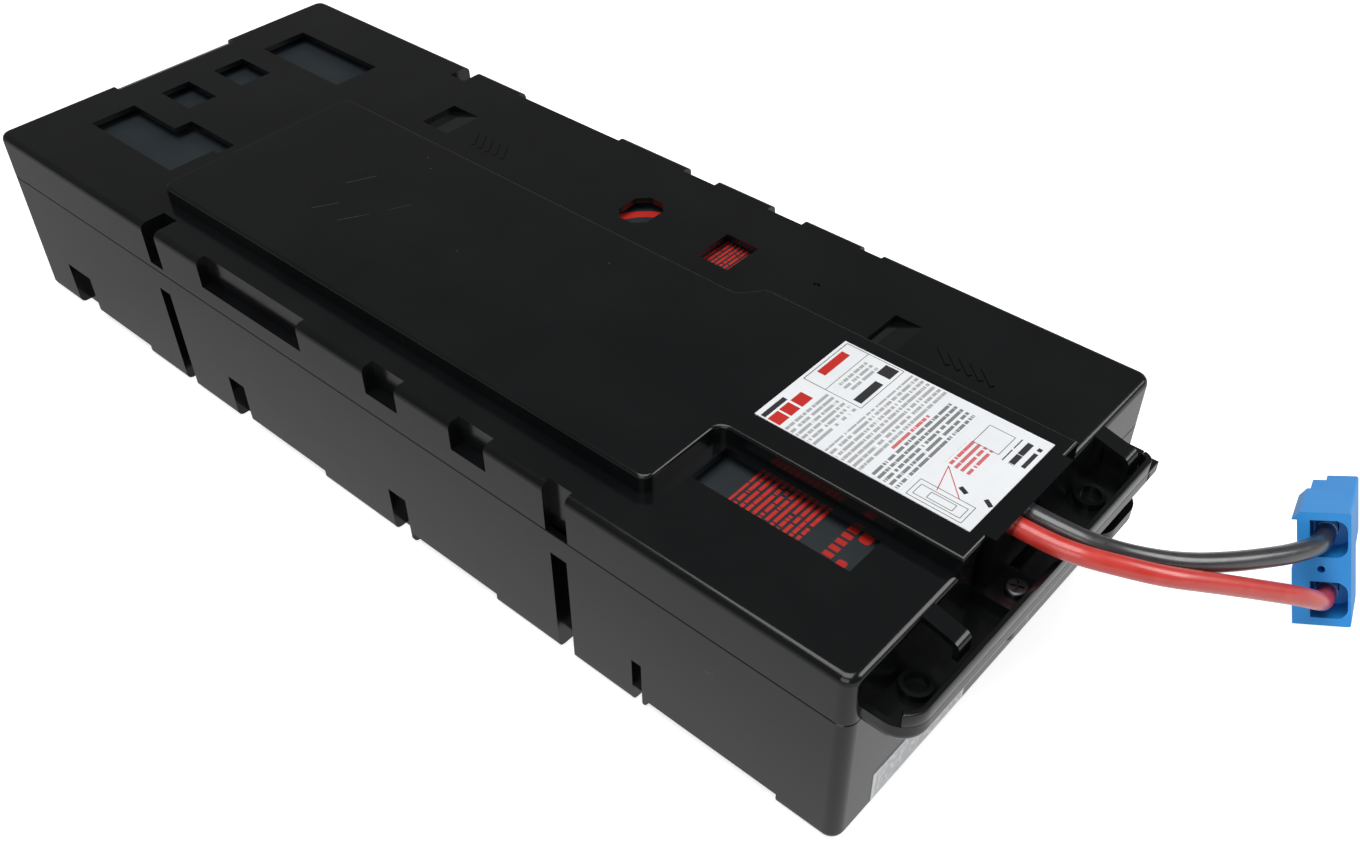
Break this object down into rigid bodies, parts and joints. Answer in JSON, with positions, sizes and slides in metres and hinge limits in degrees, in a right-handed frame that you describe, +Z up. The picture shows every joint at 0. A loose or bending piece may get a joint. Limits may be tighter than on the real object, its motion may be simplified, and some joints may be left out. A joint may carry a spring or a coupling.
{
  "type": "ups battery cartridge",
  "caption": "Black moulded battery cartridge of sealed blocks in series, with a raised wiring channel, release tabs, and a red and a black lead to a blue plug.",
  "frame": {"origin": "centre of the foot plane, under the middle of the case and its front basin", "axes": "+Y to the closed back end, -Y to the cable outlet, +Z up; both long sides face X"},
  "size_m": [0.2068, 0.5138, 0.0811],
  "materials": {
    "cover": "satin gloss",
    "tray": "satin gloss",
    "block_case": "fine matt",
    "blade": "tinned",
    "receptacle": "natural",
    "wire_black": "glossy sheath",
    "wire_red": "glossy sheath",
    "screw": "blackened",
    "label": "coated",
    "plug": "satin",
    "contact": "silvered"
  },
  "bodies": {
    "root": {"top_cover": "cover", "bottom_tray": "tray", "battery_1": "block_case", "battery_2": "block_case", "battery_3": "block_case", "battery_4": "block_case", "battery_1_terminal_positive": "blade", "receptacle_1_positive": "receptacle", "battery_1_terminal_negative": "blade", "receptacle_1_negative": "receptacle", "battery_2_terminal_positive": "blade", "receptacle_2_positive": "receptacle", "battery_2_terminal_negative": "blade", "receptacle_2_negative": "receptacle", "battery_3_terminal_positive": "blade", "receptacle_3_positive": "receptacle", "battery_3_terminal_negative": "blade", "receptacle_3_negative": "receptacle", "battery_4_terminal_positive": "blade", "receptacle_4_positive": "receptacle", "battery_4_terminal_negative": "blade", "receptacle_4_negative": "receptacle", "jumper_1_2": "wire_black", "jumper_2_3": "wire_black", "jumper_3_4": "wire_black", "lead_black_inner": "wire_black", "lead_black": "wire_black", "lead_red_inner": "wire_red", "lead_red": "wire_red", "cover_screw": "screw", "top_label": "label", "front_label": "label", "plug_housing": "plug", "plug_contact_red": "contact", "plug_contact_black": "contact"}
  },
  "joints": []
}
